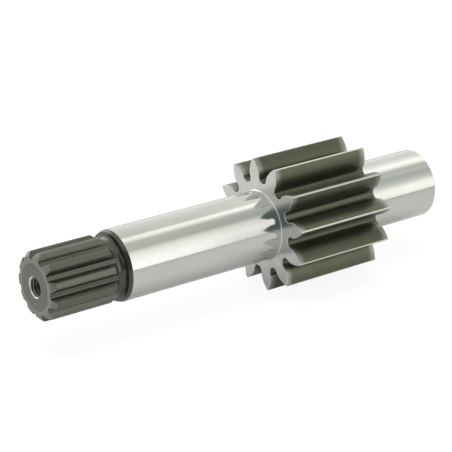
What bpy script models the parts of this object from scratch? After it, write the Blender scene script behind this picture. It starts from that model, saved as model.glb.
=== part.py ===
"""Drive shaft of a gear pump, machined from one steel bar.

From its driven end to its far end it has an involute spline with a tapped hole, a relief groove whose
cove rises to a shoulder, a seal lead-in, a long journal, a gear and a short journal. It is modelled standing
along Z with the spline at the bottom, then laid along X, so that the gear rests on two neighbouring teeth.
Lengths are in metres and angles in radians.
"""

import math
from dataclasses import dataclass

import bmesh
import bpy

MM = 0.001

# The two journals
JOURNAL_DIAMETER = 20.0 * MM
FRONT_JOURNAL_LENGTH = 49.0 * MM
REAR_JOURNAL_LENGTH = 25.3 * MM
REAR_CHAMFER = 0.5 * MM

# The gear between the journals, whose long teeth leave narrow lands
GEAR_TEETH = 12
GEAR_MODULE = 2.6 * MM
GEAR_PRESSURE_ANGLE = math.radians(20.0)
GEAR_ADDENDUM_RATIO = 1.25
GEAR_DEDENDUM_RATIO = 1.25
GEAR_PROFILE_SHIFT = 0.1
GEAR_CUTTER_TIP_RADIUS = 0.8 * MM
GEAR_BACKLASH = 0.03 * MM
GEAR_WIDTH = 31.9 * MM
GEAR_FACE_FILLET = 0.4 * MM

# The spline at the driven end, whose module is an inch divided by 16
SPLINE_TEETH = 11
SPLINE_MODULE = 1.5875 * MM
SPLINE_PRESSURE_ANGLE = math.radians(30.0)
SPLINE_ADDENDUM_RATIO = 0.5
SPLINE_DEDENDUM_RATIO = 0.675
SPLINE_CUTTER_TIP_RADIUS = 0.35 * MM
SPLINE_BACKLASH = 0.05 * MM
SPLINE_LENGTH = 19.4 * MM
SPLINE_CLOCK_ANGLE = math.radians(2.5)
SPLINE_END_CHAMFER_LENGTH = 1.15 * MM
SPLINE_END_CHAMFER_DEPTH = 1.25 * MM
SPLINE_BACK_CHAMFER = 1.5 * MM

# The relief groove behind the spline, its cove up to the shoulder, and the cone that leads a seal on
GROOVE_FLOOR_LENGTH = 0.65 * MM
GROOVE_BELOW_SPLINE_ROOT = 0.05 * MM
GROOVE_COVE_RADIUS = 1.5 * MM
LEAD_IN_LENGTH = 1.05 * MM
LEAD_IN_ANGLE = math.radians(25.0)

# The tapped hole in the spline end, drilled at its thread's minor diameter
TAP_DRILL_DIAMETER = 5.0 * MM
TAP_DRILL_DEPTH = 18.0 * MM
TAP_MOUTH_DIAMETER = 6.0 * MM
TAP_MOUTH_ANGLE = math.radians(90.0)
DRILL_POINT_ANGLE = math.radians(118.0)

# The centre hole in the far end, which carries the shaft while its journals are ground
CENTRE_MOUTH_DIAMETER = 4.25 * MM
CENTRE_PILOT_DIAMETER = 2.0 * MM
CENTRE_PILOT_DEPTH = 4.0 * MM
CENTRE_CONE_ANGLE = math.radians(60.0)

# How finely the curves are drawn
TURNING_STEPS = 72
HOLE_STEPS = 24
ARC_STEPS = 3
COVE_STEPS = 6
TOOTH_FILLET_STEPS = 6
TOOTH_FLANK_STEPS = 6
SPLINE_FILLET_STEPS = 3
SPLINE_FLANK_STEPS = 4
WELD_DISTANCE = 0.001 * MM
SHARP_ANGLE = math.radians(30.0)

# How far a cutter reaches past the metal it cuts
CUTTER_REACH = 1.0 * MM

# Halvings of the search for the end of a tooth's fillet
SEARCH_STEPS = 48

# The two finishes, as linear colour and roughness
GROUND_COLOUR = (0.56, 0.56, 0.53)
GROUND_ROUGHNESS = 0.22
PHOSPHATE_COLOUR = (0.11, 0.12, 0.1)
PHOSPHATE_ROUGHNESS = 0.42


@dataclass(frozen=True)
class CutTeeth:
    """Teeth cut by a rolling rack with straight sides and a rounded tip.

    A point on the side of a tooth space is given as its radius and its angle from the middle of the space.
    """

    count: int
    module: float
    pressure_angle: float
    addendum_ratio: float
    dedendum_ratio: float
    cutter_tip_radius: float
    backlash: float
    fillet_steps: int
    flank_steps: int
    profile_shift: float = 0.0

    @property
    def pitch_radius(self) -> float:
        """Radius of the circle on which the rack rolls."""
        return 0.5 * self.count * self.module

    @property
    def outer_radius(self) -> float:
        """Radius over the teeth."""
        return self.pitch_radius + (self.addendum_ratio + self.profile_shift) * self.module

    @property
    def root_radius(self) -> float:
        """Radius at the bottom of the spaces."""
        return self.pitch_radius - (self.dedendum_ratio - self.profile_shift) * self.module

    @property
    def half_rack_tooth(self) -> float:
        """Half the width of the rack's tooth where it rolls on the pitch circle."""
        drawn_back = self.profile_shift * self.module * math.tan(self.pressure_angle)
        return 0.25 * math.pi * self.module - drawn_back + 0.5 * self.backlash

    @property
    def tip_radius(self) -> float:
        """Radius of the rack's rounded tip, at most what fits between the rack tooth's sides."""
        depth = self.pitch_radius - self.root_radius
        half_flat = self.half_rack_tooth - depth * math.tan(self.pressure_angle)
        widest = half_flat * math.cos(self.pressure_angle) / (1.0 - math.sin(self.pressure_angle))
        return min(self.cutter_tip_radius, widest)

    @property
    def base_radius(self) -> float:
        """Radius of the circle that the involute unwinds from."""
        return self.pitch_radius * math.cos(self.pressure_angle)

    @property
    def tip_centre_depth(self) -> float:
        """Depth of the centre of the rack's rounded tip below the pitch circle."""
        return self.pitch_radius - self.root_radius - self.tip_radius

    @property
    def tip_centre_offset(self) -> float:
        """Distance of the centre of the rack's rounded tip from the middle of the rack tooth."""
        narrowing = self.tip_centre_depth * math.tan(self.pressure_angle)
        return self.half_rack_tooth - narrowing - self.tip_radius / math.cos(self.pressure_angle)

    @property
    def is_undercut(self) -> bool:
        """Whether the rack's tip cuts into the involute near the base circle."""
        straight_depth = self.tip_centre_depth + self.tip_radius * math.sin(self.pressure_angle)
        return straight_depth > self.pitch_radius * math.sin(self.pressure_angle) ** 2

    def flank_angle(self, radius: float) -> float:
        """Angle from the middle of the space to the involute flank at a radius."""
        unwound = involute(math.acos(self.base_radius / radius)) - involute(self.pressure_angle)
        return self.half_rack_tooth / self.pitch_radius + unwound

    def fillet_point(self, roll: float) -> tuple[float, float]:
        """Point that the rack's rounded tip cuts when the rack has moved by roll."""
        across = self.tip_centre_offset + roll
        down = self.tip_centre_depth
        stretch = 1.0 + self.tip_radius / math.hypot(across, down)
        height = self.pitch_radius - down * stretch
        radius = math.hypot(across * stretch, height)
        return radius, math.atan2(across * stretch, height) - roll / self.pitch_radius

    def last_fillet_roll(self) -> float:
        """Rack travel at which the involute takes over from the fillet."""
        tangent_roll = self.tip_centre_depth / math.tan(self.pressure_angle) - self.tip_centre_offset
        if not self.is_undercut:
            return tangent_roll
        low = -self.tip_centre_offset
        high = tangent_roll
        for _ in range(SEARCH_STEPS):
            middle = 0.5 * (low + high)
            radius, angle = self.fillet_point(middle)
            if radius > self.base_radius and angle < self.flank_angle(radius):
                high = middle
            else:
                low = middle
        return low

    def side(self) -> list[tuple[float, float]]:
        """One side of a tooth space, from its root to the outer radius."""
        first_roll = -self.tip_centre_offset
        travel = self.last_fillet_roll() - first_roll
        points = [
            self.fillet_point(first_roll + travel * step / self.fillet_steps)
            for step in range(self.fillet_steps + 1)
        ]
        form_radius = points[-1][0]
        rise = self.outer_radius - form_radius
        for step in range(1, self.flank_steps + 1):
            radius = form_radius + rise * step / self.flank_steps
            points.append((radius, self.flank_angle(radius)))
        return points

    def space_outline(self, middle_angle: float) -> list[tuple[float, float]]:
        """Closed outline of one tooth space in X and Y, which reaches past the outer radius."""
        side = self.side()
        outer_radius, outer_angle = side[-1]
        side.append((outer_radius + CUTTER_REACH, outer_angle))
        polar = [(radius, middle_angle - angle) for radius, angle in reversed(side)]
        polar += [(radius, middle_angle + angle) for radius, angle in side]
        return [(radius * math.cos(angle), radius * math.sin(angle)) for radius, angle in polar]


GEAR = CutTeeth(
    count=GEAR_TEETH,
    module=GEAR_MODULE,
    pressure_angle=GEAR_PRESSURE_ANGLE,
    addendum_ratio=GEAR_ADDENDUM_RATIO,
    dedendum_ratio=GEAR_DEDENDUM_RATIO,
    cutter_tip_radius=GEAR_CUTTER_TIP_RADIUS,
    backlash=GEAR_BACKLASH,
    fillet_steps=TOOTH_FILLET_STEPS,
    flank_steps=TOOTH_FLANK_STEPS,
    profile_shift=GEAR_PROFILE_SHIFT,
)

SPLINE = CutTeeth(
    count=SPLINE_TEETH,
    module=SPLINE_MODULE,
    pressure_angle=SPLINE_PRESSURE_ANGLE,
    addendum_ratio=SPLINE_ADDENDUM_RATIO,
    dedendum_ratio=SPLINE_DEDENDUM_RATIO,
    cutter_tip_radius=SPLINE_CUTTER_TIP_RADIUS,
    backlash=SPLINE_BACKLASH,
    fillet_steps=SPLINE_FILLET_STEPS,
    flank_steps=SPLINE_FLANK_STEPS,
)

# Radii and places that follow from the sizes above, measured from the spline's end face
JOURNAL_RADIUS = 0.5 * JOURNAL_DIAMETER
GROOVE_RADIUS = SPLINE.root_radius - GROOVE_BELOW_SPLINE_ROOT
SHOULDER_RADIUS = JOURNAL_RADIUS - LEAD_IN_LENGTH * math.tan(LEAD_IN_ANGLE)
COVE_RADIUS = min(GROOVE_COVE_RADIUS, SHOULDER_RADIUS - GROOVE_RADIUS)
GROOVE_START = SPLINE_LENGTH + SPLINE_BACK_CHAMFER
COVE_START = GROOVE_START + GROOVE_FLOOR_LENGTH
SHOULDER_START = COVE_START + COVE_RADIUS
JOURNAL_START = SHOULDER_START + LEAD_IN_LENGTH
GEAR_START = JOURNAL_START + FRONT_JOURNAL_LENGTH
GEAR_END = GEAR_START + GEAR_WIDTH
SHAFT_LENGTH = GEAR_END + REAR_JOURNAL_LENGTH


def involute(angle: float) -> float:
    """Involute function of a pressure angle."""
    return math.tan(angle) - angle


def arc(
    centre: tuple[float, float], radius: float, start: float, end: float, steps: int = ARC_STEPS
) -> list[tuple[float, float]]:
    """Points along an arc in a profile of (radius from the axis, height).

    Args:
        centre: The arc's centre in the profile.
        radius: The arc's radius.
        start: Angle of its first point, from the outward direction toward the far end.
        end: Angle of its last point.
        steps: How many chords it is drawn with.

    Returns:
        The points, both ends included.
    """
    angles = [start + (end - start) * step / steps for step in range(steps + 1)]
    return [(centre[0] + radius * math.cos(a), centre[1] + radius * math.sin(a)) for a in angles]


def blank_profile() -> list[tuple[float, float]]:
    """Outline of the turned blank, from the far end on the axis down to the spline's end face."""
    outer = GEAR.outer_radius
    spline = SPLINE.outer_radius
    fillet_centre = JOURNAL_RADIUS + GEAR_FACE_FILLET
    quarter = 0.5 * math.pi

    profile = [(0.0, SHAFT_LENGTH)]
    profile.append((JOURNAL_RADIUS - REAR_CHAMFER, SHAFT_LENGTH))
    profile.append((JOURNAL_RADIUS, SHAFT_LENGTH - REAR_CHAMFER))
    profile += arc((fillet_centre, GEAR_END + GEAR_FACE_FILLET), GEAR_FACE_FILLET, 2 * quarter, 3 * quarter)
    profile.append((outer, GEAR_END))
    profile.append((outer, GEAR_START))
    profile += arc((fillet_centre, GEAR_START - GEAR_FACE_FILLET), GEAR_FACE_FILLET, quarter, 2 * quarter)
    profile.append((JOURNAL_RADIUS, JOURNAL_START))
    profile.append((SHOULDER_RADIUS, SHOULDER_START))
    profile += arc((GROOVE_RADIUS + COVE_RADIUS, COVE_START), COVE_RADIUS, quarter, 2 * quarter, COVE_STEPS)
    profile.append((GROOVE_RADIUS, GROOVE_START))
    profile.append((spline - SPLINE_BACK_CHAMFER, GROOVE_START))
    profile.append((spline, SPLINE_LENGTH))
    profile.append((spline, SPLINE_END_CHAMFER_LENGTH))
    profile.append((spline - SPLINE_END_CHAMFER_DEPTH, 0.0))
    profile.append((0.0, 0.0))
    return profile


def tapped_hole_profile() -> list[tuple[float, float]]:
    """Outline of the drill and countersink that make the tapped hole, top to bottom."""
    mouth = 0.5 * TAP_MOUTH_DIAMETER
    drill = 0.5 * TAP_DRILL_DIAMETER
    point = drill / math.tan(0.5 * DRILL_POINT_ANGLE)
    mouth_depth = (mouth - drill) / math.tan(0.5 * TAP_MOUTH_ANGLE)
    reach = CUTTER_REACH * math.tan(0.5 * TAP_MOUTH_ANGLE)
    return [
        (0.0, TAP_DRILL_DEPTH + point),
        (drill, TAP_DRILL_DEPTH),
        (drill, mouth_depth),
        (mouth + reach, -CUTTER_REACH),
        (0.0, -CUTTER_REACH),
    ]


def centre_hole_profile() -> list[tuple[float, float]]:
    """Outline of the centre drill that enters the far end, top to bottom."""
    mouth = 0.5 * CENTRE_MOUTH_DIAMETER
    pilot = 0.5 * CENTRE_PILOT_DIAMETER
    slope = math.tan(0.5 * CENTRE_CONE_ANGLE)
    cone_depth = (mouth - pilot) / slope
    point = pilot / math.tan(0.5 * DRILL_POINT_ANGLE)
    return [
        (0.0, SHAFT_LENGTH + CUTTER_REACH),
        (mouth + CUTTER_REACH * slope, SHAFT_LENGTH + CUTTER_REACH),
        (pilot, SHAFT_LENGTH - cone_depth),
        (pilot, SHAFT_LENGTH - CENTRE_PILOT_DEPTH),
        (0.0, SHAFT_LENGTH - CENTRE_PILOT_DEPTH - point),
    ]


def new_collection(name: str) -> bpy.types.Collection:
    """Adds a collection to the scene."""
    collection = bpy.data.collections.new(name)
    bpy.context.scene.collection.children.link(collection)
    return collection


def principled(name: str, colour: tuple[float, float, float], roughness: float) -> bpy.types.Material:
    """Makes a bare metal material with a linear colour and a roughness."""
    material = bpy.data.materials.new(name)
    material.use_nodes = True
    shader = material.node_tree.nodes["Principled BSDF"]
    shader.inputs["Base Color"].default_value = (*colour, 1.0)
    shader.inputs["Metallic"].default_value = 1.0
    shader.inputs["Roughness"].default_value = roughness
    return material


def turned(
    name: str, profile: list[tuple[float, float]], steps: int, collection: bpy.types.Collection
) -> bpy.types.Object:
    """Turns a profile of (radius, height) points about Z into a closed solid.

    Args:
        name: The object's name.
        profile: Points from the top on the axis, down the outer side, to the bottom on the axis.
        steps: How many flats go round it.
        collection: Where the object goes.

    Returns:
        The object, with its Screw modifier.
    """
    mesh = bpy.data.meshes.new(name)
    edges = [(index, index + 1) for index in range(len(profile) - 1)]
    mesh.from_pydata([(radius, 0.0, height) for radius, height in profile], edges, [])
    shape = bpy.data.objects.new(name, mesh)
    collection.objects.link(shape)
    screw = shape.modifiers.new("turn", "SCREW")
    screw.axis = "Z"
    screw.angle = 2.0 * math.pi
    screw.steps = steps
    screw.render_steps = steps
    screw.use_merge_vertices = True
    screw.merge_threshold = WELD_DISTANCE
    return shape


def tooth_spaces(
    name: str, teeth: CutTeeth, clock: float, start: float, end: float, collection: bpy.types.Collection
) -> bpy.types.Object:
    """Makes the cutter for all the spaces between a wheel's teeth.

    Args:
        name: The cutter's name.
        teeth: The teeth that it leaves standing.
        clock: Angle of the middle of its first space, from X toward Y.
        start: Height at which the cut starts.
        end: Height at which it ends.
        collection: Where the cutter goes.

    Returns:
        The cutter, one mesh with a prism for each space.
    """
    curve = bpy.data.curves.new(name, "CURVE")
    curve.dimensions = "2D"
    curve.fill_mode = "BOTH"
    curve.extrude = 0.5 * (end - start)
    for index in range(teeth.count):
        outline = teeth.space_outline(clock + 2.0 * math.pi * index / teeth.count)
        spline = curve.splines.new("POLY")
        spline.points.add(len(outline) - 1)
        for point, (x, y) in zip(spline.points, outline, strict=True):
            point.co = (x, y, 0.0, 1.0)
        spline.use_cyclic_u = True
    drawn = bpy.data.objects.new(name, curve)
    collection.objects.link(drawn)
    drawn.location.z = 0.5 * (start + end)
    return as_mesh(drawn, collection)


def as_mesh(drawn: bpy.types.Object, collection: bpy.types.Collection) -> bpy.types.Object:
    """Replaces an object by one whose mesh has its modifiers and curves worked out, with welded corners."""
    name = drawn.name
    bpy.context.view_layer.update()
    evaluated = drawn.evaluated_get(bpy.context.evaluated_depsgraph_get())
    mesh = bpy.data.meshes.new_from_object(evaluated)
    solid = bpy.data.objects.new(name, mesh)
    collection.objects.link(solid)
    solid.matrix_world = drawn.matrix_world
    bpy.data.objects.remove(drawn)
    solid.name = name
    mesh.name = name
    welded = bmesh.new()
    welded.from_mesh(mesh)
    bmesh.ops.remove_doubles(welded, verts=welded.verts, dist=WELD_DISTANCE)
    welded.to_mesh(mesh)
    welded.free()
    return solid


def finish_blank(blank: bpy.types.Object) -> None:
    """Gives the blank its finishes: dark phosphate up to the long journal, ground steel beyond."""
    blank.data.materials.clear()
    blank.data.materials.append(principled("ground_steel", GROUND_COLOUR, GROUND_ROUGHNESS))
    blank.data.materials.append(principled("phosphated_steel", PHOSPHATE_COLOUR, PHOSPHATE_ROUGHNESS))
    for polygon in blank.data.polygons:
        polygon.material_index = int(polygon.center.z < JOURNAL_START)


def cut(blank: bpy.types.Object, cutter: bpy.types.Object) -> None:
    """Cuts the blank with a cutter, whose faces leave the cutter's own finish."""
    cutter.hide_render = True
    cutter.display_type = "WIRE"
    boolean = blank.modifiers.new(cutter.name, "BOOLEAN")
    boolean.operation = "DIFFERENCE"
    boolean.solver = "EXACT"
    boolean.material_mode = "TRANSFER"
    boolean.object = cutter


def make_drive_shaft() -> bpy.types.Object:
    """Models the shaft and lays it down.

    Returns:
        The finished shaft, lying along X with its middle at the origin.
    """
    parts = new_collection("drive_shaft")
    cutters = new_collection("cutters")
    blank = as_mesh(turned("drive_shaft", blank_profile(), TURNING_STEPS, parts), parts)
    finish_blank(blank)

    spline_end = GROOVE_START + 0.5 * GROOVE_FLOOR_LENGTH
    gear_start = GEAR_START - CUTTER_REACH
    gear_end = GEAR_END + CUTTER_REACH
    tools = [
        tooth_spaces("gear_spaces", GEAR, 0.0, gear_start, gear_end, cutters),
        tooth_spaces("spline_spaces", SPLINE, SPLINE_CLOCK_ANGLE, -CUTTER_REACH, spline_end, cutters),
        as_mesh(turned("tapped_hole", tapped_hole_profile(), HOLE_STEPS, cutters), cutters),
        as_mesh(turned("centre_hole", centre_hole_profile(), HOLE_STEPS, cutters), cutters),
    ]
    for tool in tools:
        tool.data.materials.clear()
        tool.data.materials.append(blank.data.materials["phosphated_steel"])
        cut(blank, tool)

    shaft = as_mesh(blank, parts)
    shaft.data.shade_smooth()
    shaft.data.set_sharp_from_angle(angle=SHARP_ANGLE)
    shaft.rotation_euler = (0.0, 0.5 * math.pi, 0.0)
    shaft.location = (-0.5 * SHAFT_LENGTH, 0.0, 0.0)
    return shaft


for leftover in list(bpy.data.objects):
    bpy.data.objects.remove(leftover)
make_drive_shaft()
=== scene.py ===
"""Looks of the drive shaft of a gear pump.

The shaft is one steel bar. From its driven end to its far end it has an involute spline with a tapped hole, a
relief groove whose cove rises to a shoulder, a seal lead-in, a long ground journal, a gear and a short journal.
It lies along X and rests on two teeth of its gear. Here it is drawn again with fine facets, softened edges and
a real thread, and dressed in its steel finishes, on a plain white table.
Lengths are in metres and angles in radians. A station is a distance along the axis from the driven end.
"""

import logging
from collections.abc import Callable
from dataclasses import dataclass
from enum import Enum
from math import acos, atan2, cos, hypot, pi, radians, sin, tan
from typing import ClassVar

import bmesh
import bpy
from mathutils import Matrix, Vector


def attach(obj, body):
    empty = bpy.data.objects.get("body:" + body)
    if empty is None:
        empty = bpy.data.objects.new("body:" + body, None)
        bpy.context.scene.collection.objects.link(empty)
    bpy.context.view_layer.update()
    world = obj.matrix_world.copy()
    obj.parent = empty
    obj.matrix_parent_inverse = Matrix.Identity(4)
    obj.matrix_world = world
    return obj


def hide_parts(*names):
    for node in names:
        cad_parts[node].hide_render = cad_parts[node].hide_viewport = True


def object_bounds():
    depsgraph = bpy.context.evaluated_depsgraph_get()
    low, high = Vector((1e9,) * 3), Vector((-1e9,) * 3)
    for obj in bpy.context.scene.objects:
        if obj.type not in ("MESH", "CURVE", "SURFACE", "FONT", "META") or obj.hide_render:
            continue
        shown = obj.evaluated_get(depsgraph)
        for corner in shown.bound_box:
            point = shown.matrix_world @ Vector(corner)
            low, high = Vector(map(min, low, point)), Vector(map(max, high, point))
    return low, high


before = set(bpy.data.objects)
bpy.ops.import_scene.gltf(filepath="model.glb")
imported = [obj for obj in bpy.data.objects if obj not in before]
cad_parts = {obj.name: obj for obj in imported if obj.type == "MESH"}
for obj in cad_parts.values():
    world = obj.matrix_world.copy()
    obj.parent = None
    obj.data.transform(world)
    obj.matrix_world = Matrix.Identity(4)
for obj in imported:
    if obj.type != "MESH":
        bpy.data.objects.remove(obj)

MM = 0.001
TURN = 2.0 * pi
RIGHT_ANGLE = 0.5 * pi
CAD_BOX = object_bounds()
LOG = logging.getLogger("drive_shaft")

# Points round every ring of the shaft's outside: 11 spline teeth and 12 gear teeth both divide it
ROUND = 792
# Points round the two holes, one for every nine of the outside
HOLE_ROUND = 88
# Halvings of the search for the place where the fillet of a tooth meets its flank
SEARCH_STEPS = 48

Polar = tuple[float, float]
Rgba = tuple[float, float, float, float]
Finishes = list[bpy.types.Material]
Object = bpy.types.Object
Socket = bpy.types.NodeSocket
Tree = bpy.types.NodeTree
# Brightness of the studio round the shaft: degrees from straight up toward the camera's side, colour and strength
Ramp = tuple[tuple[float, str, float], ...]


class Surface(Enum):
    """The surfaces that are finished differently, in the order of the shaft's material slots."""

    JOURNAL = 0
    GEAR_FACE = 1
    TIP_LAND = 2
    FLANK = 3
    SPLINE = 4
    SPLINE_FLANK = 5
    NECK = 6
    SPLINE_FACE = 7
    MOUTH = 8
    THREAD = 9
    REAR_FACE = 10
    CHAMFER = 11


def linear(hex_colour: str, level: float = 1.0) -> Rgba:
    """Turns an sRGB hex colour into the linear colour that a shader takes.

    Args:
        hex_colour: The colour as "#rrggbb".
        level: What the colour is multiplied by.

    Returns:
        Linear red, green, blue and an alpha of 1.
    """
    channels = [int(hex_colour[place : place + 2], 16) / 255 for place in (1, 3, 5)]
    straight = [c / 12.92 if c <= 0.04045 else ((c + 0.055) / 1.055) ** 2.4 for c in channels]
    return (*(level * c for c in straight), 1.0)


def add_node(tree: Tree, kind: str, settings: dict[str | int, object] | None = None) -> bpy.types.Node:
    """Adds a node to a tree.

    Args:
        tree: The node tree.
        kind: The node's type without its prefix, such as "Bump".
        settings: Its own options by name, and by name or number what goes into its inputs: a value or a socket.

    Returns:
        The node.
    """
    node = tree.nodes.new("ShaderNode" + kind)
    for key, value in (settings or {}).items():
        if isinstance(value, Socket):
            tree.links.new(value, node.inputs[key])
        elif isinstance(key, str) and hasattr(node, key):
            setattr(node, key, value)
        else:
            node.inputs[key].default_value = value
    return node


def add_math(tree: Tree, operation: str, *operands: Socket | float) -> Socket:
    """Adds a calculation with one to three operands, each of them a socket or a number, and returns its result."""
    return add_node(tree, "Math", {"operation": operation, **dict(enumerate(operands))}).outputs[0]


def add_step(tree: Tree, value: Socket, start: float, end: float) -> Socket:
    """Adds a soft step that rises from 0 at start to 1 at end."""
    settings = {"interpolation_type": "SMOOTHSTEP", 0: value, 1: start, 2: end}
    return add_node(tree, "MapRange", settings).outputs[0]


def add_mix(tree: Tree, share: Socket, first: Socket | Rgba, second: Socket | Rgba) -> Socket:
    """Adds a blend of two colours, each of them a socket or a linear colour, and returns its result."""
    return add_node(tree, "Mix", {"data_type": "RGBA", 0: share, 6: first, 7: second}).outputs[2]


def add_noise(tree: Tree, place: Socket, scale: float, detail: float, roughness: float = 0.5) -> Socket:
    """Adds soft noise of a scale per metre, and returns its level."""
    settings = {"Vector": place, "Scale": scale, "Detail": detail, "Roughness": roughness}
    return add_node(tree, "TexNoise", settings).outputs["Fac"]


def add_axis_distance(tree: Tree, place: Socket) -> tuple[Socket, Socket]:
    """Adds the direction away from the shaft's axis, as long as the distance from it, and that distance."""
    outward = add_node(tree, "VectorMath", {"operation": "MULTIPLY", 0: place, 1: (0.0, 1.0, 1.0)}).outputs[0]
    return outward, add_node(tree, "VectorMath", {"operation": "LENGTH", 0: outward}).outputs["Value"]


def involute(angle: float) -> float:
    """Involute function of a pressure angle."""
    return tan(angle) - angle


def rounded(ends: tuple[Polar | Vector, Polar | Vector, Polar | Vector], steps: int) -> list[Polar]:
    """Softens a corner.

    Args:
        ends: The last point before it, the corner itself and the first point after it.
        steps: Chords of the rounded corner.

    Returns:
        The points from the first end to the last.
    """
    points = []
    for step in range(steps + 1):
        share = step / steps
        weights = ((1 - share) ** 2, 2 * share * (1 - share), share**2)
        mixed = [sum(weight * end[axis] for weight, end in zip(weights, ends, strict=True)) for axis in (0, 1)]
        points.append((mixed[0], mixed[1]))
    return points


@dataclass(frozen=True)
class ToothForm:
    """Teeth cut by a rolling rack with straight sides and a rounded tip, as the solid model has them.

    A point on the side of a tooth space is given as its radius and its angle from the middle of the space.
    The outline of one pitch has the same number of points whatever its size, so that rings join up.
    """

    count: int
    module: float
    pressure_angle: float
    addendum_ratio: float
    dedendum_ratio: float
    profile_shift: float
    cutter_tip_radius: float
    backlash: float
    clock: float
    corner_break: float
    root_steps: int
    fillet_steps: int
    flank_steps: int
    corner_steps: int = 3

    @property
    def pitch_radius(self) -> float:
        """Radius of the circle on which the rack rolls."""
        return 0.5 * self.count * self.module

    @property
    def outer_radius(self) -> float:
        """Radius over the teeth."""
        return self.pitch_radius + (self.addendum_ratio + self.profile_shift) * self.module

    @property
    def root_radius(self) -> float:
        """Radius at the bottom of the spaces."""
        return self.pitch_radius - (self.dedendum_ratio - self.profile_shift) * self.module

    @property
    def half_rack_tooth(self) -> float:
        """Half the width of the rack's tooth where it rolls on the pitch circle."""
        drawn_back = self.profile_shift * self.module * tan(self.pressure_angle)
        return 0.25 * pi * self.module - drawn_back + 0.5 * self.backlash

    @property
    def base_radius(self) -> float:
        """Radius of the circle that the involute unwinds from."""
        return self.pitch_radius * cos(self.pressure_angle)

    @property
    def tip_centre_depth(self) -> float:
        """Depth of the centre of the rack's rounded tip below the pitch circle."""
        return self.pitch_radius - self.root_radius - self.cutter_tip_radius

    @property
    def tip_centre_offset(self) -> float:
        """Distance of the centre of the rack's rounded tip from the middle of the rack tooth."""
        narrowing = self.tip_centre_depth * tan(self.pressure_angle)
        return self.half_rack_tooth - narrowing - self.cutter_tip_radius / cos(self.pressure_angle)

    @property
    def is_undercut(self) -> bool:
        """Whether the rack's tip cuts into the involute near the base circle."""
        straight_depth = self.tip_centre_depth + self.cutter_tip_radius * sin(self.pressure_angle)
        return straight_depth > self.pitch_radius * sin(self.pressure_angle) ** 2

    @property
    def points_per_pitch(self) -> int:
        """Points of the outline from one space's middle to the next."""
        return ROUND // self.count

    @property
    def land_start(self) -> int:
        """Number of the point, counted from a space's middle, at which the tip land starts."""
        return self.root_steps + self.fillet_steps + self.flank_steps + self.corner_steps

    def surfaces(self, land: Surface, flank: Surface) -> Callable[[int], Surface]:
        """Gives the surface of each segment: one on the tip lands and their softened corners, one between them."""
        pitch = self.points_per_pitch
        corner = self.land_start - self.corner_steps
        return lambda segment: land if corner <= segment % pitch < pitch - corner else flank

    def flank_angle(self, radius: float) -> float:
        """Angle from the middle of the space to the involute flank at a radius."""
        unwound = involute(acos(self.base_radius / radius)) - involute(self.pressure_angle)
        return self.half_rack_tooth / self.pitch_radius + unwound

    def fillet_point(self, roll: float) -> Polar:
        """Point that the rack's rounded tip cuts when the rack has moved by roll."""
        across = self.tip_centre_offset + roll
        stretch = 1.0 + self.cutter_tip_radius / hypot(across, self.tip_centre_depth)
        height = self.pitch_radius - self.tip_centre_depth * stretch
        turned = atan2(across * stretch, height) - roll / self.pitch_radius
        return hypot(across * stretch, height), turned

    def last_fillet_roll(self) -> float:
        """Rack travel at which the involute takes over from the fillet."""
        tangent_roll = self.tip_centre_depth / tan(self.pressure_angle) - self.tip_centre_offset
        if not self.is_undercut:
            return tangent_roll
        low, high = -self.tip_centre_offset, tangent_roll
        for _ in range(SEARCH_STEPS):
            middle = 0.5 * (low + high)
            radius, angle = self.fillet_point(middle)
            if radius > self.base_radius and angle < self.flank_angle(radius):
                high = middle
            else:
                low = middle
        return low

    def side(self, crown: float) -> list[Polar]:
        """One side of a tooth space.

        Args:
            crown: Radius of the tip land above it.

        Returns:
            The points from the middle of the space to the start of the land, its corner softened.
        """
        first_roll = -self.tip_centre_offset
        travel = self.last_fillet_roll() - first_roll
        root_angle = self.fillet_point(first_roll)[1]
        points = [(self.root_radius, root_angle * step / self.root_steps) for step in range(self.root_steps)]
        for step in range(self.fillet_steps + 1):
            points.append(self.fillet_point(first_roll + travel * step / self.fillet_steps))
        form_radius = points[-1][0]
        rise = crown - self.corner_break - form_radius
        for step in range(1, self.flank_steps + 1):
            radius = form_radius + rise * step / self.flank_steps
            points.append((radius, self.flank_angle(radius)))
        below = points[-1]
        corner = (crown, self.flank_angle(crown))
        beyond = (crown, corner[1] + self.corner_break / crown)
        return points + rounded((below, corner, beyond), self.corner_steps)[1:]

    def outline(self, crown: float | None = None) -> list[Polar]:
        """Closed outline round all the teeth.

        Args:
            crown: Radius of the tip lands, if they are turned down below the full outer radius.

        Returns:
            One point for each of the ring's places, as its radius and its angle about the axis.
        """
        crown = self.outer_radius if crown is None else crown
        side = self.side(crown)
        pitch = TURN / self.count
        start = side[-1][1]
        steps = self.points_per_pitch - 2 * self.land_start
        land = [(crown, start + (pitch - 2.0 * start) * step / steps) for step in range(1, steps)]
        back = [(radius, pitch - angle) for radius, angle in reversed(side)][:-1]
        one_pitch = side + land + back
        return [
            (radius, self.clock + angle + pitch * tooth) for tooth in range(self.count) for radius, angle in one_pitch
        ]


def circle(radius: float, count: int = ROUND) -> list[Polar]:
    """Places evenly round a circle, starting at the bottom."""
    return [(radius, TURN * place / count) for place in range(count)]


def drawn_in(outline: list[Polar], distance: float) -> list[Polar]:
    """Moves a closed outline towards the metal inside it.

    Args:
        outline: Its points, by radius and angle.
        distance: How far each point moves, square to the outline.

    Returns:
        The moved outline.
    """
    flat = [Vector((radius * cos(angle), radius * sin(angle))) for radius, angle in outline]
    moved = []
    for place, point in enumerate(flat):
        along = (flat[(place + 1) % len(flat)] - flat[place - 1]).normalized()
        inner = point + distance * Vector((-along.y, along.x))
        turn = atan2(inner.y, inner.x)
        turn += TURN * round((outline[place][1] - turn) / TURN)
        moved.append((inner.length, turn))
    return moved


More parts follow.
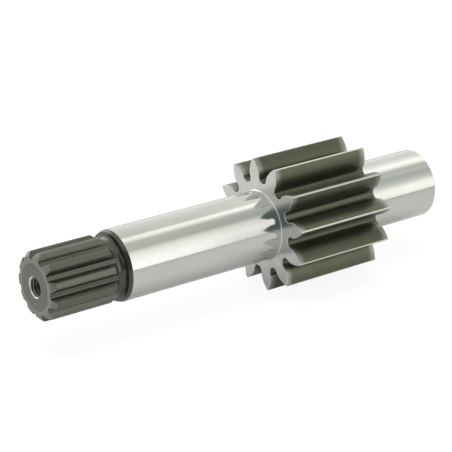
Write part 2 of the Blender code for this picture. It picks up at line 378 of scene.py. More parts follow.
def softened(corners: list[tuple[float, float, float]], steps: int = 3) -> list[Polar]:
    """Rounds the corners of a turned profile.

    Args:
        corners: Station, radius and how far before and after it the corner is softened, for each corner.
        steps: Chords of a rounded corner.

    Returns:
        The profile's points, as station and radius.
    """
    points: list[Polar] = []
    for number, (station, radius, reach) in enumerate(corners):
        corner = Vector((station, radius))
        if reach == 0.0:
            points.append((station, radius))
            continue
        before = corner + reach * (Vector(corners[number - 1][:2]) - corner).normalized()
        after = corner + reach * (Vector(corners[number + 1][:2]) - corner).normalized()
        points += rounded((before, corner, after), steps)
    return points


def arc(centre: Polar, radius: float, start: float, end: float, steps: int) -> list[Polar]:
    """Stations and radii along an arc, whose angles run from the far end's direction toward the outside."""
    angles = [start + (end - start) * step / steps for step in range(steps + 1)]
    return [(centre[0] + radius * cos(a), centre[1] + radius * sin(a)) for a in angles]


class Tube:
    """A skin drawn in edit mode ring by ring: a circle is added, shaped, and its open edge is extruded."""

    def __init__(self, name: str, finishes: Finishes, shaft_length: float, station: float, ring: list[Polar]) -> None:
        """Adds the first ring.

        Args:
            name: The object's name.
            finishes: The material of each surface, in the order of their numbers.
            shaft_length: Length of the whole shaft, whose middle is the origin.
            station: Where the ring is.
            ring: Its points, by radius and angle.
        """
        self.half_length = 0.5 * shaft_length
        bpy.ops.object.select_all(action="DESELECT")
        place = (station - self.half_length, 0.0, 0.0)
        bpy.ops.mesh.primitive_circle_add(
            vertices=len(ring), radius=ring[0][0], location=place, rotation=(0.0, RIGHT_ANGLE, 0.0)
        )
        self.shape = bpy.context.object
        self.shape.name = name
        for material in finishes:
            self.shape.data.materials.append(material)
        bpy.ops.object.transform_apply(location=True, rotation=True, scale=True)
        bpy.ops.object.mode_set(mode="EDIT")
        bpy.ops.mesh.select_mode(type="VERT")
        bpy.ops.mesh.select_all(action="SELECT")
        mesh = bmesh.from_edit_mesh(self.shape.data)
        places = mesh.verts.layers.int.new("place")
        for number, vertex in enumerate(mesh.verts):
            vertex[places] = number
        self.shape_open_ring(station, ring, None)

    def shape_open_ring(self, station: float, ring: list[Polar], surface: Callable[[int], Surface] | None) -> None:
        """Moves the selected ring of vertices into place and gives the new faces their finish.

        Args:
            station: Where the ring is.
            ring: Its points, by radius and angle.
            surface: Gives each segment's surface by its number.
        """
        mesh = bmesh.from_edit_mesh(self.shape.data)
        places = mesh.verts.layers.int["place"]
        for vertex in (v for v in mesh.verts if v.select):
            radius, angle = ring[vertex[places]]
            vertex.co = (station - self.half_length, radius * sin(angle), -radius * cos(angle))
            for face in vertex.link_faces:
                ends = {corner[places] for corner in face.verts}
                segment = max(ends) if ends == {0, len(ring) - 1} else min(ends)
                face.material_index = surface(segment).value
        bmesh.update_edit_mesh(self.shape.data)

    def extend(self, station: float, ring: list[Polar], surface: Surface | Callable[[int], Surface]) -> None:
        """Extrudes the open edge to a ring at a station; the surface between may be a function of the segment."""
        bpy.ops.mesh.extrude_region_move()
        self.shape_open_ring(station, ring, surface if callable(surface) else lambda segment: surface)

    def turn(self, profile: list[Polar], surface: Surface, count: int = ROUND) -> None:
        """Extrudes the open edge along a turned profile of stations and radii."""
        for station, radius in profile:
            self.extend(station, circle(radius, count), surface)

    def close(self, station: float, surface: Surface, count: int) -> None:
        """Closes the open edge in a point on the axis."""
        self.extend(station, circle(0.0, count), surface)
        bpy.ops.mesh.merge(type="CENTER")

    def finish(self) -> Object:
        """Leaves edit mode and returns the object."""
        bpy.ops.object.mode_set(mode="OBJECT")
        return self.shape


@dataclass(frozen=True)
class Turning:
    """Sizes of the turned and ground parts of the bar."""

    journal_radius: float = 10.0 * MM
    front_journal_length: float = 49.0 * MM
    rear_journal_length: float = 25.3 * MM
    rear_chamfer: float = 0.5 * MM
    gear_width: float = 31.9 * MM
    gear_fillet: float = 0.4 * MM
    spline_length: float = 19.4 * MM
    spline_back_chamfer: float = 1.5 * MM
    groove_floor: float = 0.65 * MM
    groove_radius: float = 7.6097 * MM
    cove_radius: float = 1.5 * MM
    lead_in_length: float = 1.05 * MM
    lead_in_angle: float = radians(25.0)
    seam_reach: float = 0.05 * MM
    seam_drop: float = 0.023 * MM
    cove_steps: int = 12
    fillet_steps: int = 6

    @property
    def groove_start(self) -> float:
        """Station of the spline's back face, where the groove starts."""
        return self.spline_length + self.spline_back_chamfer

    @property
    def cove_start(self) -> float:
        """Station at which the groove's floor turns up into the cove."""
        return self.groove_start + self.groove_floor

    @property
    def shoulder_start(self) -> float:
        """Station of the shoulder's small flat face, where the cove ends."""
        return self.cove_start + self.cove_radius

    @property
    def shoulder_radius(self) -> float:
        """Radius of the corner between the shoulder's face and the lead-in."""
        return self.journal_radius - self.lead_in_length * tan(self.lead_in_angle)

    @property
    def journal_start(self) -> float:
        """Station at which the long journal starts."""
        return self.shoulder_start + self.lead_in_length

    @property
    def gear_start(self) -> float:
        """Station of the gear's front face."""
        return self.journal_start + self.front_journal_length

    @property
    def gear_end(self) -> float:
        """Station of the gear's rear face."""
        return self.gear_start + self.gear_width

    @property
    def length(self) -> float:
        """Length of the whole shaft."""
        return self.gear_end + self.rear_journal_length


@dataclass(frozen=True)
class SplineEnd:
    """The driven end: involute spline, end chamfer, relief groove, cove, shoulder and seal lead-in."""

    turning: Turning
    face_radius: float = 4.0 * MM
    disc_radius: float = 6.5 * MM
    shoulder_break: float = 0.1 * MM
    chamfer_length: float = 1.15 * MM
    chamfer_depth: float = 1.25 * MM
    edge_break: float = 0.12 * MM
    teeth: ToothForm = ToothForm(
        count=11, module=1.5875 * MM, pressure_angle=radians(30.0), addendum_ratio=0.5,
        dedendum_ratio=0.675, profile_shift=0.0, cutter_tip_radius=0.35 * MM, backlash=0.05 * MM,
        clock=radians(2.5), corner_break=0.12 * MM, root_steps=3, fillet_steps=6, flank_steps=10,
    )

    def crowns(self) -> list[Polar]:
        """Station and land radius of every ring along the spline, from its end face to its back face."""
        full = self.teeth.outer_radius
        start = self.turning.spline_length
        back = self.turning.spline_back_chamfer
        soft = self.edge_break
        corners = [
            (0.0, full - self.chamfer_depth - soft, 0.0),
            (0.0, full - self.chamfer_depth, 0.5 * soft),
            (self.chamfer_length, full, soft),
            (start, full, soft),
            (start + back, full - back, 0.5 * soft),
            (start + back, full - back - soft, 0.0),
        ]
        return softened(corners)

    def build(self, finishes: Finishes) -> Object:
        """Models the driven end as far as the start of the long journal."""
        turning = self.turning
        tube = Tube("spline_end", finishes, turning.length, 0.0, circle(self.face_radius))
        tube.turn([(0.0, self.disc_radius)], Surface.SPLINE_FACE)
        crowns = self.crowns()
        tube.extend(crowns[0][0], self.teeth.outline(crowns[0][1]), Surface.CHAMFER)
        for station, crown in crowns[1:]:
            land = Surface.CHAMFER if station < self.chamfer_length + self.edge_break else Surface.SPLINE
            tube.extend(station, self.teeth.outline(crown), self.teeth.surfaces(land, Surface.SPLINE_FLANK))
        floor = turning.groove_radius
        tube.turn([(turning.groove_start, floor)], Surface.NECK)
        centre = (turning.cove_start, floor + turning.cove_radius)
        tube.turn(arc(centre, turning.cove_radius, -RIGHT_ANGLE, 0.0, turning.cove_steps), Surface.NECK)
        soft = self.shoulder_break
        corners = [
            (turning.shoulder_start, centre[1], 0.0),
            (turning.shoulder_start, turning.shoulder_radius, soft),
            (turning.journal_start - turning.seam_reach, turning.journal_radius - turning.seam_drop, 0.0),
        ]
        neck = softened(corners)
        tube.turn(neck[1:], Surface.NECK)
        tube.turn([(turning.journal_start + turning.seam_reach, turning.journal_radius)], Surface.JOURNAL)
        return tube.finish()


@dataclass(frozen=True)
class PumpGear:
    """The gear between the journals, and the front journal that it grows out of."""

    turning: Turning
    edge_break: float = 0.12 * MM
    edge_steps: int = 3
    teeth: ToothForm = ToothForm(
        count=12, module=2.6 * MM, pressure_angle=radians(20.0), addendum_ratio=1.25, dedendum_ratio=1.25,
        profile_shift=0.1, cutter_tip_radius=0.8 * MM, backlash=0.03 * MM, clock=0.0, corner_break=0.07 * MM,
        root_steps=1, fillet_steps=11, flank_steps=16,
    )

    def build(self, finishes: Finishes) -> Object:
        """Models the front journal and the gear, as far as the fillet behind the gear."""
        turning = self.turning
        start = turning.journal_start + turning.seam_reach
        fillet = turning.gear_fillet
        ring_radius = turning.journal_radius + fillet
        tube = Tube("pump_gear", finishes, turning.length, start, circle(turning.journal_radius))
        centre = (turning.gear_start - fillet, ring_radius)
        tube.turn(arc(centre, fillet, -RIGHT_ANGLE, 0.0, turning.fillet_steps), Surface.JOURNAL)
        outline = self.teeth.outline()
        edge = self.edge_break
        turns = [RIGHT_ANGLE * step / self.edge_steps for step in range(self.edge_steps + 1)]
        rings = [(edge * (1.0 - cos(turn)), drawn_in(outline, edge * (1.0 - sin(turn)))) for turn in turns]
        for inset, ring in rings:
            tube.extend(turning.gear_start + inset, ring, Surface.GEAR_FACE)
        toothed = self.teeth.surfaces(Surface.TIP_LAND, Surface.FLANK)
        for inset, ring in reversed(rings):
            surface = toothed if inset == rings[-1][0] else Surface.GEAR_FACE
            tube.extend(turning.gear_end - inset, ring, surface)
        tube.turn([(turning.gear_end, ring_radius)], Surface.GEAR_FACE)
        return tube.finish()


@dataclass(frozen=True)
class RearJournal:
    """The short journal behind the gear, with its end chamfer and flat end."""

    turning: Turning
    face_radius: float = 2.9 * MM
    edge_break: float = 0.1 * MM
    chamfer_lead: float = 1.5 * MM

    def build(self, finishes: Finishes) -> Object:
        """Models the fillet behind the gear, the journal and its end."""
        turning = self.turning
        fillet = turning.gear_fillet
        centre = (turning.gear_end + fillet, turning.journal_radius + fillet)
        sweep = arc(centre, fillet, -pi, -RIGHT_ANGLE, turning.fillet_steps)
        tube = Tube("rear_journal", finishes, turning.length, sweep[0][0], circle(sweep[0][1]))
        tube.turn(sweep[1:], Surface.JOURNAL)
        chamfer = turning.rear_chamfer
        soft = self.edge_break
        corners = [
            (turning.length - self.chamfer_lead, turning.journal_radius, 0.0),
            (turning.length - chamfer, turning.journal_radius, soft),
            (turning.length, turning.journal_radius - chamfer, soft),
            (turning.length, self.face_radius, 0.0),
        ]
        end = softened(corners)
        tube.turn(end[:-1], Surface.JOURNAL)
        tube.turn(end[-1:], Surface.REAR_FACE)
        return tube.finish()


@dataclass(frozen=True)
class TappedHole:
    """The tapped hole in the driven end: countersunk mouth, M6 thread and the drill's cone below it."""

    turning: Turning
    face_radius: float = 3.4 * MM
    mouth_radius: float = 3.0 * MM
    rim_depth: float = 0.35 * MM
    minor_radius: float = 2.5 * MM
    major_radius: float = 3.0 * MM
    pitch: float = 1.0 * MM
    thread_angle: float = radians(60.0)
    root_flat: float = 0.125 * MM
    thread_depth: float = 13.0 * MM
    run_out: float = 1.0 * MM
    drill_depth: float = 18.0 * MM
    point_angle: float = radians(118.0)
    rings_per_pitch: int = 16

    def radius(self, depth: float, angle: float) -> float:
        """Radius of the hole's wall at a depth and an angle about the axis."""
        along = depth / self.pitch - angle / TURN
        from_root = abs(along % 1.0 - 0.5) * self.pitch
        rise = max(0.0, from_root - 0.5 * self.root_flat) / tan(0.5 * self.thread_angle)
        cut = max(0.0, self.major_radius - self.minor_radius - rise)
        fade = min(1.0, max(0.0, (self.thread_depth - depth) / self.run_out))
        countersink = self.mouth_radius - depth
        return max(self.minor_radius + cut * fade, countersink)

    def build(self, finishes: Finishes) -> Object:
        """Models the hole from the end face down to the drill's point."""
        turns = [TURN * place / HOLE_ROUND for place in range(HOLE_ROUND)]
        tube = Tube("tapped_hole", finishes, self.turning.length, 0.0, circle(self.face_radius, HOLE_ROUND))
        steps = round(self.thread_depth / self.pitch * self.rings_per_pitch)
        for step in range(steps + 1):
            depth = self.thread_depth * step / steps
            ring = [(self.radius(depth, turn), turn) for turn in turns]
            surface = Surface.SPLINE_FACE if step == 0 else Surface.THREAD
            if 0.0 < depth <= self.rim_depth:
                surface = Surface.MOUTH
            tube.extend(depth, ring, surface)
        tube.extend(self.drill_depth, circle(self.minor_radius, HOLE_ROUND), Surface.THREAD)
        point = self.minor_radius / tan(0.5 * self.point_angle)
        tube.close(self.drill_depth + point, Surface.THREAD, HOLE_ROUND)
        return tube.finish()


@dataclass(frozen=True)
class CentreHole:
    """The centre hole in the far end, on which the journals were ground."""

    turning: Turning
    face_radius: float = 2.4 * MM
    mouth_radius: float = 2.125 * MM
    pilot_radius: float = 1.0 * MM
    pilot_depth: float = 4.0 * MM
    cone_angle: float = radians(60.0)
    point_angle: float = radians(118.0)
    edge_break: float = 0.08 * MM

    def build(self, finishes: Finishes) -> Object:
        """Models the hole from the flat end down to the pilot's point."""
        end = self.turning.length
        cone = (self.mouth_radius - self.pilot_radius) / tan(0.5 * self.cone_angle)
        tube = Tube("centre_hole", finishes, end, end, circle(self.face_radius, HOLE_ROUND))
        corners = [
            (end, self.face_radius, 0.0),
            (end, self.mouth_radius, self.edge_break),
            (end - cone, self.pilot_radius, self.edge_break),
            (end - self.pilot_depth, self.pilot_radius, 0.0),
        ]
        profile = softened(corners)
        tube.turn(profile[1:], Surface.REAR_FACE, HOLE_ROUND)
        point = self.pilot_radius / tan(0.5 * self.point_angle)
        tube.close(end - self.pilot_depth - point, Surface.REAR_FACE, HOLE_ROUND)
        return tube.finish()


@dataclass(frozen=True)
class SteelFinish:
    """What the finishes of the steel share: two tones in soft clouds, and marks in its gloss and its relief.

    The marks are finer than the render shows, so each finish draws them as coarse as they need to be to show.
    """

    name: str
    colour: str
    shade: str
    roughness: float
    spread: float
    mark_size: float
    mark_depth: float
    cloud_size: float = 4.0 * MM
    streakiness: float = 0.0
    metallic: float = 1.0
    coat: float = 0.0
    mark_levels: ClassVar[tuple[float, float]] = (0.3, 0.7)

    def marks(self, tree: Tree, place: Socket) -> Socket:
        """Adds the pattern of the marks."""
        raise NotImplementedError

    def across(self, tree: Tree, place: Socket) -> Socket | None:
        """Adds the direction square to the marks, in which a reflection is drawn out, if it is."""
        return None

    def tone(self, tree: Tree, place: Socket) -> Socket:
        """Adds the colour."""
        clouds = add_noise(tree, place, 1.0 / self.cloud_size, detail=2.0)
        return add_mix(tree, clouds, linear(self.colour), linear(self.shade))

    def material(self) -> bpy.types.Material:
        """Makes the material."""
        material = bpy.data.materials.new(self.name)
        material.use_nodes = True
        tree = material.node_tree
        shader = tree.nodes["Principled BSDF"]
        plain = (self.metallic, self.coat, self.roughness, self.streakiness)
        for name, value in zip(("Metallic", "Coat Weight", "Coat Roughness", "Anisotropic"), plain, strict=True):
            shader.inputs[name].default_value = value
        place = add_node(tree, "TexCoord").outputs["Object"]
        marks = self.marks(tree, place)
        least, most = self.roughness - self.spread, self.roughness + self.spread
        low, high = self.mark_levels
        gloss = add_node(tree, "MapRange", {1: low, 2: high, 3: least, 4: most, 0: marks}).outputs[0]
        relief = add_node(tree, "Bump", {"Strength": 1.0, "Distance": self.mark_depth, "Height": marks}).outputs[0]
        tree.links.new(self.tone(tree, place), shader.inputs["Base Color"])
        tree.links.new(gloss, shader.inputs["Roughness"])
        tree.links.new(relief, shader.inputs["Normal"])
        across = self.across(tree, place)
        if across:
            tree.links.new(across, shader.inputs["Tangent"])
        return material


@dataclass(frozen=True)
class GroundSteel(SteelFinish):
    """Hardened steel ground round its axis: a soft mirror with fine rings, which draw reflections out along it."""

    ring_stretch: ClassVar[float] = 60.0

    def marks(self, tree: Tree, place: Socket) -> Socket:
        """Adds rings round the axis."""
        along, around = 1.0 / self.mark_size, 1.0 / (self.ring_stretch * self.mark_size)
        rings = add_node(tree, "Mapping", {"Scale": (along, around, around), "Vector": place})
        return add_noise(tree, rings.outputs[0], scale=1.0, detail=3.0, roughness=0.6)

    def across(self, tree: Tree, place: Socket) -> Socket:
        """Adds the axis's direction."""
        return add_node(tree, "CombineXYZ", {"X": 1.0}).outputs[0]


@dataclass(frozen=True)
class FacedSteel(SteelFinish):
    """Steel faced or face-ground square to its axis: fine rings about the axis, which draw reflections outward."""

    def across(self, tree: Tree, place: Socket) -> Socket:
        """Adds the direction away from the axis."""
        return add_axis_distance(tree, place)[0]

    def marks(self, tree: Tree, place: Socket) -> Socket:
        """Adds rings about the axis."""
        counted = add_math(tree, "DIVIDE", add_axis_distance(tree, place)[1], self.mark_size)
        settings = {"noise_dimensions": "1D", "W": counted, "Scale": 1.0, "Detail": 3.0, "Roughness": 0.6}
        return add_node(tree, "TexNoise", settings).outputs["Fac"]


@dataclass(frozen=True)
class PhosphatedSteel(SteelFinish):
    """Steel under a thin manganese phosphate coat, oiled: a greenish grey satin with a fine crystal grain.

    The crystals scatter part of the light and the oil on them shines where it is seen at a slant.
    """

    metallic: float = 0.6
    coat: float = 0.6

    def marks(self, tree: Tree, place: Socket) -> Socket:
        """Adds the grain."""
        return add_noise(tree, place, 1.0 / self.mark_size, detail=4.0)


@dataclass(frozen=True)
class HardenedFlank(SteelFinish):
    """Tooth flanks left as they came from hardening: an olive oxide, greyer in the spaces, brushed near the faces."""

    metallic: float = 0.8
    turning: Turning = Turning()
    depths: str = "#5a5c4e"
    brushed: str = "#9a9c93"
    depths_radius: float = 13.0 * MM
    clear_radius: float = 15.4 * MM
    brushed_reach: float = 2.6 * MM
    streak_stretch: float = 20.0
    wander_size: float = 2.0 * MM
    wander: float = 1.2 * MM

    def marks(self, tree: Tree, place: Socket) -> Socket:
        """Adds the streaks that the cutter left along the teeth."""
        along, around = 1.0 / (self.streak_stretch * self.mark_size), 1.0 / self.mark_size
        streaks = add_node(tree, "Mapping", {"Scale": (along, around, around), "Vector": place})
        return add_noise(tree, streaks.outputs[0], scale=1.0, detail=3.0)

    def nearness(self, tree: Tree, place: Socket) -> Socket:
        """Adds how near a place is to a gear face: 1 beside it and 0 beyond the brushed length, which wanders."""
        station = add_node(tree, "SeparateXYZ", {0: place}).outputs["X"]
        middle = 0.5 * (self.turning.gear_start + self.turning.gear_end - self.turning.length)
        distance = add_math(tree, "ABSOLUTE", add_math(tree, "SUBTRACT", station, middle))
        clouds = add_noise(tree, place, 1.0 / self.wander_size, detail=3.0)
        wandering = add_math(tree, "MULTIPLY_ADD", clouds, self.wander, distance)
        end = 0.5 * (self.turning.gear_width + self.wander)
        return add_step(tree, wandering, end - self.brushed_reach, end)

    def tone(self, tree: Tree, place: Socket) -> Socket:
        """Adds the colour: the oxide, its depths in the tooth spaces and its brushed ends."""
        height = add_step(tree, add_axis_distance(tree, place)[1], self.depths_radius, self.clear_radius)
        bright = add_math(tree, "MULTIPLY", height, self.nearness(tree, place))
        oxide = add_mix(tree, height, linear(self.depths), super().tone(tree, place))
        return add_mix(tree, bright, oxide, linear(self.brushed))


@dataclass(frozen=True)
class DriveShaft:
    """The whole shaft: its lengths of skin are joined into one closed piece and dressed."""

    name: str = "machined_shaft"
    turning: Turning = Turning()
    weld_distance: float = 0.0005 * MM
    crease_angle: float = radians(32.0)

    def finishes(self) -> dict[Surface, bpy.types.Material]:
        """Makes the material of every surface."""
        finishes = {
            Surface.JOURNAL: GroundSteel(
                "ground_steel_journal", "#cfcfcb", "#c7c8c4", 0.11, 0.02, 0.25 * MM, 0.001 * MM, 7.0 * MM, 0.35
            ),
            Surface.GEAR_FACE: FacedSteel(
                "ground_steel_gear_face", "#d8d9d6", "#c8cac8", 0.22, 0.03, 0.3 * MM, 0.002 * MM, 4.0 * MM, 0.6
            ),
            Surface.TIP_LAND: GroundSteel(
                "ground_steel_tooth_tip", "#d0d1c8", "#c2c3ba", 0.3, 0.03, 0.3 * MM, 0.0005 * MM
            ),
            Surface.FLANK: HardenedFlank(
                "case_hardened_steel_flank", "#535547", "#636555", 0.36, 0.05, 0.7 * MM, 0.006 * MM
            ),
            Surface.SPLINE: PhosphatedSteel(
                "phosphated_steel_land", "#5c6053", "#53574a", 0.36, 0.05, 0.25 * MM, 0.004 * MM, metallic=0.8
            ),
            Surface.SPLINE_FLANK: PhosphatedSteel(
                "phosphated_steel_flank", "#5c6056", "#52564c", 0.36, 0.05, 0.25 * MM, 0.003 * MM,
                metallic=0.95, coat=0.3
            ),
            Surface.NECK: PhosphatedSteel(
                "oiled_phosphated_steel_neck", "#41453a", "#363a30", 0.16, 0.03, 0.3 * MM, 0.002 * MM
            ),
            Surface.SPLINE_FACE: FacedSteel(
                "phosphated_steel_end", "#7c7d79", "#72736f", 0.5, 0.05, 0.4 * MM, 0.006 * MM
            ),
            Surface.MOUTH: PhosphatedSteel(
                "countersunk_steel_rim", "#d8dad2", "#c6c8bf", 0.25, 0.04, 0.25 * MM, 0.002 * MM
            ),
            Surface.THREAD: PhosphatedSteel(
                "phosphated_steel_thread", "#8c8e86", "#787a72", 0.3, 0.05, 0.25 * MM, 0.002 * MM
            ),
            Surface.REAR_FACE: FacedSteel("turned_steel_end", "#c4c4c0", "#b8b8b3", 0.28, 0.05, 0.4 * MM, 0.006 * MM),
            Surface.CHAMFER: PhosphatedSteel(
                "rubbed_phosphated_chamfer", "#73786b", "#696e62", 0.34, 0.05, 0.25 * MM, 0.003 * MM
            ),
        }
        return {surface: finish.material() for surface, finish in finishes.items()}

    def build(self) -> Object:
        """Models, joins, welds and dresses the shaft.

        Returns:
            The finished shaft, with its object at the origin.
        """
        finishes = self.finishes()
        for surface in Surface:
            LOG.info("%s: %s", surface.name, finishes[surface].name)
        kinds = (SplineEnd, PumpGear, RearJournal, TappedHole, CentreHole)
        lengths = [kind(self.turning).build([finishes[surface] for surface in Surface]) for kind in kinds]
        for length in lengths:
            LOG.info("%s: %d faces", length.name, len(length.data.polygons))
            length.select_set(True)
        bpy.context.view_layer.objects.active = lengths[0]
        bpy.ops.object.join()
        shaft = bpy.context.object
        shaft.name = shaft.data.name = self.name
        self.weld(shaft)
        shaft.data.attributes.remove(shaft.data.attributes["place"])
        bpy.ops.object.shade_smooth_by_angle(angle=self.crease_angle)
        self.straighten_normals(shaft)
        return shaft

    def straighten_normals(self, shaft: Object) -> None:
        """Weighs each corner's shading by the faces' areas, so that small edge breaks leave long faces straight."""
        bpy.ops.object.modifier_add(type="WEIGHTED_NORMAL")
        modifier = shaft.modifiers[-1]
        modifier.keep_sharp = True
        bpy.ops.object.modifier_apply(modifier=modifier.name)

    def weld(self, shaft: Object) -> None:
        """Joins the lengths where they meet, fills the face round each hole and turns all faces out."""
        bpy.ops.object.mode_set(mode="EDIT")
        bpy.ops.mesh.select_all(action="SELECT")
        bpy.ops.mesh.remove_doubles(threshold=self.weld_distance)
        for end, surface in ((-1.0, Surface.SPLINE_FACE), (1.0, Surface.REAR_FACE)):
            bpy.ops.mesh.select_all(action="DESELECT")
            mesh = bmesh.from_edit_mesh(shaft.data)
            face_x = end * 0.5 * self.turning.length
            for edge in mesh.edges:
                if edge.is_boundary and abs(edge.verts[0].co.x - face_x) < self.weld_distance:
                    edge.select_set(True)
            bmesh.update_edit_mesh(shaft.data)
            bpy.ops.mesh.select_mode(type="EDGE")
            bpy.ops.mesh.fill()
            mesh = bmesh.from_edit_mesh(shaft.data)
            for face in mesh.faces:
                if face.select:
                    face.material_index = surface.value
            bmesh.update_edit_mesh(shaft.data)
            bpy.ops.mesh.select_mode(type="VERT")
        bpy.ops.mesh.select_all(action="SELECT")
        bpy.ops.mesh.normals_make_consistent(inside=False)
        mesh = bmesh.from_edit_mesh(shaft.data)
        loose = sum(1 for edge in mesh.edges if not edge.is_manifold)
        LOG.info("open or crossing edges: %d, volume %.0f mm3", loose, mesh.calc_volume() / MM**3)
        bpy.ops.object.mode_set(mode="OBJECT")


@dataclass(frozen=True)
class Studio:
    """A plain white table in a white room, with a soft box in front and a strip light above."""

    floor_height: float
    floor_size: float = 6.0
    floor_colour: str = "#f4f2f0"
    top_strength: float = 3.0
    room_strength: float = 0.6
    lamp_power: float = 2.6
    table_glow: tuple[float, float] = (0.64, 1.08)
    table_glow_share: tuple[float, float] = (0.5, 0.84)
    lamp_size: float = 0.5
    lamp_location: tuple[float, float, float] = (-0.05, 0.1, 0.55)
    lamp_tilt: float = radians(-10.0)
    camera_aim: tuple[float, float, float] = (-0.55, -0.71, 0.44)
    camera_colour: str = "#76838a"
    camera_strength: float = 0.9
    camera_edge: tuple[float, float] = (0.72, 0.93)
    bottom: tuple[str, float] = ("#fefefe", 0.9)
    front: Ramp = (
        (-92.0, "#fdfdfb", 1.35), (-80.0, "#fbfcf7", 1.12), (-60.0, "#fbfcf7", 1.06), (-40.0, "#fdfef7", 0.94),
        (-19.0, "#fdfef6", 0.86), (-15.5, "#fffffb", 1.42), (-8.0, "#fffffb", 1.46), (-2.5, "#fffffb", 1.24),
        (5.0, "#fdfff8", 0.78), (18.0, "#fdfff5", 0.76), (29.0, "#fefff2", 0.72), (34.0, "#fefff6", 0.94),
        (38.0, "#fffff9", 1.14), (48.0, "#fffff9", 1.4), (58.0, "#fffffb", 1.52), (68.0, "#fffefd", 1.68),
        (80.0, "#fffefd", 1.74), (92.0, "#fffdf8", 1.7),
    )
    middle: Ramp = (
        (-92.0, "#fdfdfb", 1.3), (-80.0, "#fbfcf7", 1.1), (-60.0, "#fbfcf7", 1.0), (-40.0, "#fbfcf5", 1.08),
        (-19.0, "#fbfcf5", 1.1), (-15.5, "#fffffb", 1.65), (-8.0, "#fffffb", 1.6), (-2.0, "#fdfffc", 1.02),
        (6.0, "#fbfffa", 0.66), (18.0, "#fafff8", 0.55), (29.0, "#fafff8", 0.59), (34.0, "#fdfff9", 0.8),
        (38.0, "#fdfff9", 1.0), (48.0, "#fffdf8", 1.12), (58.0, "#fffdfb", 1.22), (68.0, "#fafdff", 1.14),
        (78.0, "#f1f8ff", 1.0), (90.0, "#f6faff", 0.85),
    )
    rear: Ramp = (
        (-92.0, "#fdfdfb", 1.2), (-60.0, "#fbfcf7", 1.02), (-44.0, "#fdfef9", 1.12), (-32.0, "#fffffb", 1.3),
        (-26.0, "#fffffb", 1.6), (-18.0, "#fffffb", 1.65), (-8.0, "#fffffb", 1.36), (-1.0, "#fbfefa", 0.86),
        (5.0, "#fafefa", 0.75), (16.0, "#fafefa", 0.83), (28.0, "#fafefa", 0.67), (40.0, "#fafefc", 0.74),
        (52.0, "#fcfefa", 0.99), (60.0, "#fffef8", 1.36), (66.0, "#fffef8", 1.56), (76.0, "#fffef8", 1.62),
        (90.0, "#fffef8", 1.46),
    )
    far_left: Ramp = (
        (-60.0, "#fbfcf7", 0.9), (15.0, "#fbfcf7", 0.98), (60.0, "#f4f8fa", 0.78),
    )
    left: Ramp = (
        (-90.0, "#fdfdfb", 1.1), (-80.0, "#fffefa", 2.3), (-58.0, "#fffefa", 2.3), (-46.0, "#fbfcf7", 1.0),
        (15.0, "#fbfcf7", 1.1), (60.0, "#f4f8fa", 0.9), (92.0, "#f4f8fa", 0.9),
    )

    @property
    def slices(self) -> tuple[tuple[float, float, Ramp], ...]:
        """Where each ramp takes over: the x of the direction at the blend's start and end, and the ramp."""
        return (
            (-0.46, -0.38, self.left), (-0.1, 0.3, self.front), (0.535, 0.545, self.middle), (0.575, 0.61, self.rear)
        )

    def ramp(self, tree: Tree, angle: Socket, stops: Ramp) -> Socket:
        """Adds the ramp that turns an angle into the brightness over the top strength, from bottom to bottom."""
        stops = ((-180.0, *self.bottom), *stops, (180.0, *self.bottom))
        node = add_node(tree, "ValToRGB", {0: angle})
        elements = node.color_ramp.elements
        while len(elements) < len(stops):
            elements.new(0.5)
        for element, (degrees, _, _) in zip(elements, stops, strict=True):
            element.position = degrees / 360.0 + 0.5
        for element, (_, colour, strength) in zip(elements, stops, strict=True):
            element.color = linear(colour, strength / self.top_strength)
        return node.outputs[0]

    def build_world(self) -> None:
        """Makes the room: white to the camera, soft boxes to polished metal and a plain level to the rest."""
        world = bpy.data.worlds.new("white_room")
        bpy.context.scene.world = world
        world.use_nodes = True
        world.cycles.sampling_method = "NONE"
        tree = world.node_tree
        tree.nodes.clear()
        aim = add_node(tree, "TexCoord").outputs["Generated"]
        axes = add_node(tree, "SeparateXYZ", {0: aim}).outputs
        angle = add_math(tree, "ARCTAN2", add_math(tree, "MULTIPLY", axes["Y"], -1.0), axes["Z"])
        part = add_math(tree, "MULTIPLY_ADD", angle, 1.0 / TURN, 0.5)
        room = self.ramp(tree, part, self.far_left)
        for start, end, stops in self.slices:
            room = add_mix(tree, add_step(tree, axes["X"], start, end), room, self.ramp(tree, part, stops))
        aimed = add_node(tree, "VectorMath", {"operation": "DOT_PRODUCT", 0: aim, 1: self.camera_aim}).outputs["Value"]
        dark = linear(self.camera_colour, self.camera_strength / self.top_strength)
        boxes = add_mix(tree, add_step(tree, aimed, *self.camera_edge), room, dark)
        path = add_node(tree, "LightPath").outputs
        shiny = add_math(tree, "MAXIMUM", path["Is Glossy Ray"], path["Is Transmission Ray"])
        plain = add_node(tree, "Background", {"Color": linear("#ffffff"), "Strength": self.room_strength})
        white = add_node(tree, "Background", {"Color": linear("#ffffff"), "Strength": 1.0})
        studio = add_node(tree, "Background", {"Strength": self.top_strength, "Color": boxes})
        lit = add_node(tree, "MixShader", {0: shiny, 1: plain.outputs[0], 2: studio.outputs[0]})
        seen = add_node(tree, "MixShader", {0: path["Is Camera Ray"], 1: lit.outputs[0], 2: white.outputs[0]})
        add_node(tree, "OutputWorld", {"Surface": seen.outputs[0]})

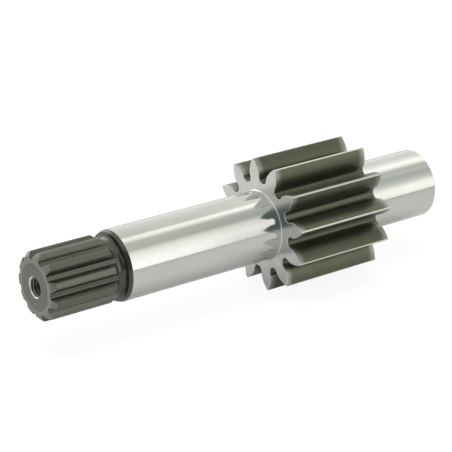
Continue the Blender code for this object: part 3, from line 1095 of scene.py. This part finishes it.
    def build_floor(self) -> Object:
        """Makes the table top, which the camera sees as white but for the shaft's faint shadow.

        Part of it is glow: a share of what polished metal mirrors, and a larger and stronger one to the camera.

        Returns:
            The table top.
        """
        bpy.ops.object.select_all(action="DESELECT")
        bpy.ops.mesh.primitive_plane_add(size=self.floor_size, location=(0.0, 0.0, self.floor_height))
        floor = bpy.context.object
        floor.name = "table_top"
        material = bpy.data.materials.new("white_card")
        material.use_nodes = True
        tree = material.node_tree
        tree.nodes.clear()
        path = add_node(tree, "LightPath").outputs
        card = add_node(tree, "BsdfDiffuse", {"Color": linear(self.floor_colour)}).outputs[0]
        mirrored_glow, seen_glow = self.table_glow
        mirrored_share, seen_share = self.table_glow_share
        strength = add_math(tree, "MULTIPLY_ADD", path["Is Camera Ray"], seen_glow - mirrored_glow, mirrored_glow)
        glow = add_node(tree, "Emission", {"Strength": strength}).outputs[0]
        mirrored = add_math(tree, "MULTIPLY", path["Is Glossy Ray"], mirrored_share)
        share = add_math(tree, "MULTIPLY_ADD", path["Is Camera Ray"], seen_share, mirrored)
        seen = add_node(tree, "MixShader", {0: share, 1: card, 2: glow}).outputs[0]
        add_node(tree, "OutputMaterial", {"Surface": seen})
        floor.data.materials.append(material)
        return floor

    def build_lamp(self) -> None:
        """Adds the soft box overhead and a little behind, which lights the table and lays the shadow."""
        lamp = bpy.data.lights.new("overhead_soft_box", "AREA")
        lamp.energy = self.lamp_power
        lamp.size = self.lamp_size
        holder = bpy.data.objects.new("overhead_soft_box", lamp)
        bpy.context.scene.collection.objects.link(holder)
        holder.location = self.lamp_location
        holder.rotation_euler = (self.lamp_tilt, 0.0, 0.0)
        holder.visible_glossy = False

    def build(self) -> None:
        """Makes the room, the table and the lamp."""
        self.build_world()
        self.build_floor()
        self.build_lamp()


@dataclass(frozen=True)
class PhotoCamera:
    """The camera where the photographer's stood, fitted to the photograph's outlines."""

    location: tuple[float, float, float] = (-279.656 * MM, -366.784 * MM, 216.608 * MM)
    turn_degrees: tuple[float, float, float] = (64.9748, -2.0606, -35.9634)
    lens: float = 145.815
    sensor: float = 36.0

    def build(self) -> None:
        """Adds the camera and looks through it."""
        data = bpy.data.cameras.new("photo_camera")
        data.lens = self.lens
        data.sensor_width = self.sensor
        data.clip_start = 0.01
        data.clip_end = 20.0
        camera = bpy.data.objects.new("photo_camera", data)
        bpy.context.scene.collection.objects.link(camera)
        camera.location = self.location
        camera.rotation_euler = [radians(turn) for turn in self.turn_degrees]
        bpy.context.scene.camera = camera


def main() -> None:
    """Builds the camera, the shaft and the studio in order, and reports each piece."""
    logging.basicConfig(level=logging.INFO, format="%(name)s: %(message)s")
    bpy.context.scene.view_settings.view_transform = "Standard"
    PhotoCamera().build()
    shaft = DriveShaft().build()
    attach(shaft, "root")
    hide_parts("drive_shaft")
    LOG.info("%s: %d faces", shaft.name, len(shaft.data.polygons))
    Studio(floor_height=CAD_BOX[0][2]).build()


if __name__ == "__main__":
    main()
